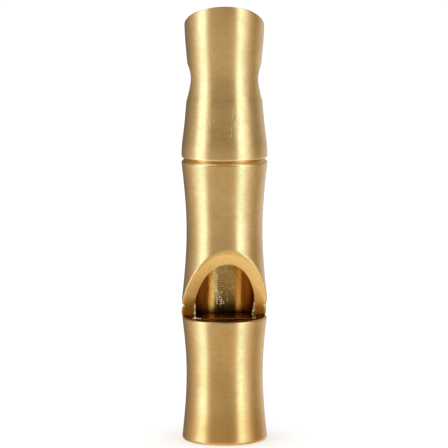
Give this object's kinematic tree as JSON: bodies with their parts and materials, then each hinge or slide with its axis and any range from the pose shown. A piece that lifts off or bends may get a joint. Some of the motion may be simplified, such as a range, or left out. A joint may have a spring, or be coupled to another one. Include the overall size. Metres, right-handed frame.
{
  "type": "training whistle",
  "caption": "Brass pipe whistle turned like bamboo: bored tube with a ramped sound window, pressed windway plug, and a solid slant-cut head cross-drilled for a cord.",
  "frame": {"origin": "centre of the mouthpiece end face, on the axis of the bore", "axes": "+Z along the bore from the mouthpiece to the slant-cut head, which is highest at the front; the window faces -Y; the head with its cord eye is pressed in turned 5 degrees about Z, so the eye runs 5 degrees off X"},
  "size_m": [0.0116, 0.0116, 0.0585],
  "materials": {
    "tube_brass": "satin, brushed around the axis",
    "head_brass": "satin, brushed around the axis",
    "plug_brass": "faced on a lathe, as machined"
  },
  "bodies": {
    "root": {"whistle_tube": "tube_brass", "head_cap": "head_brass", "fipple_plug": "plug_brass"}
  },
  "joints": []
}
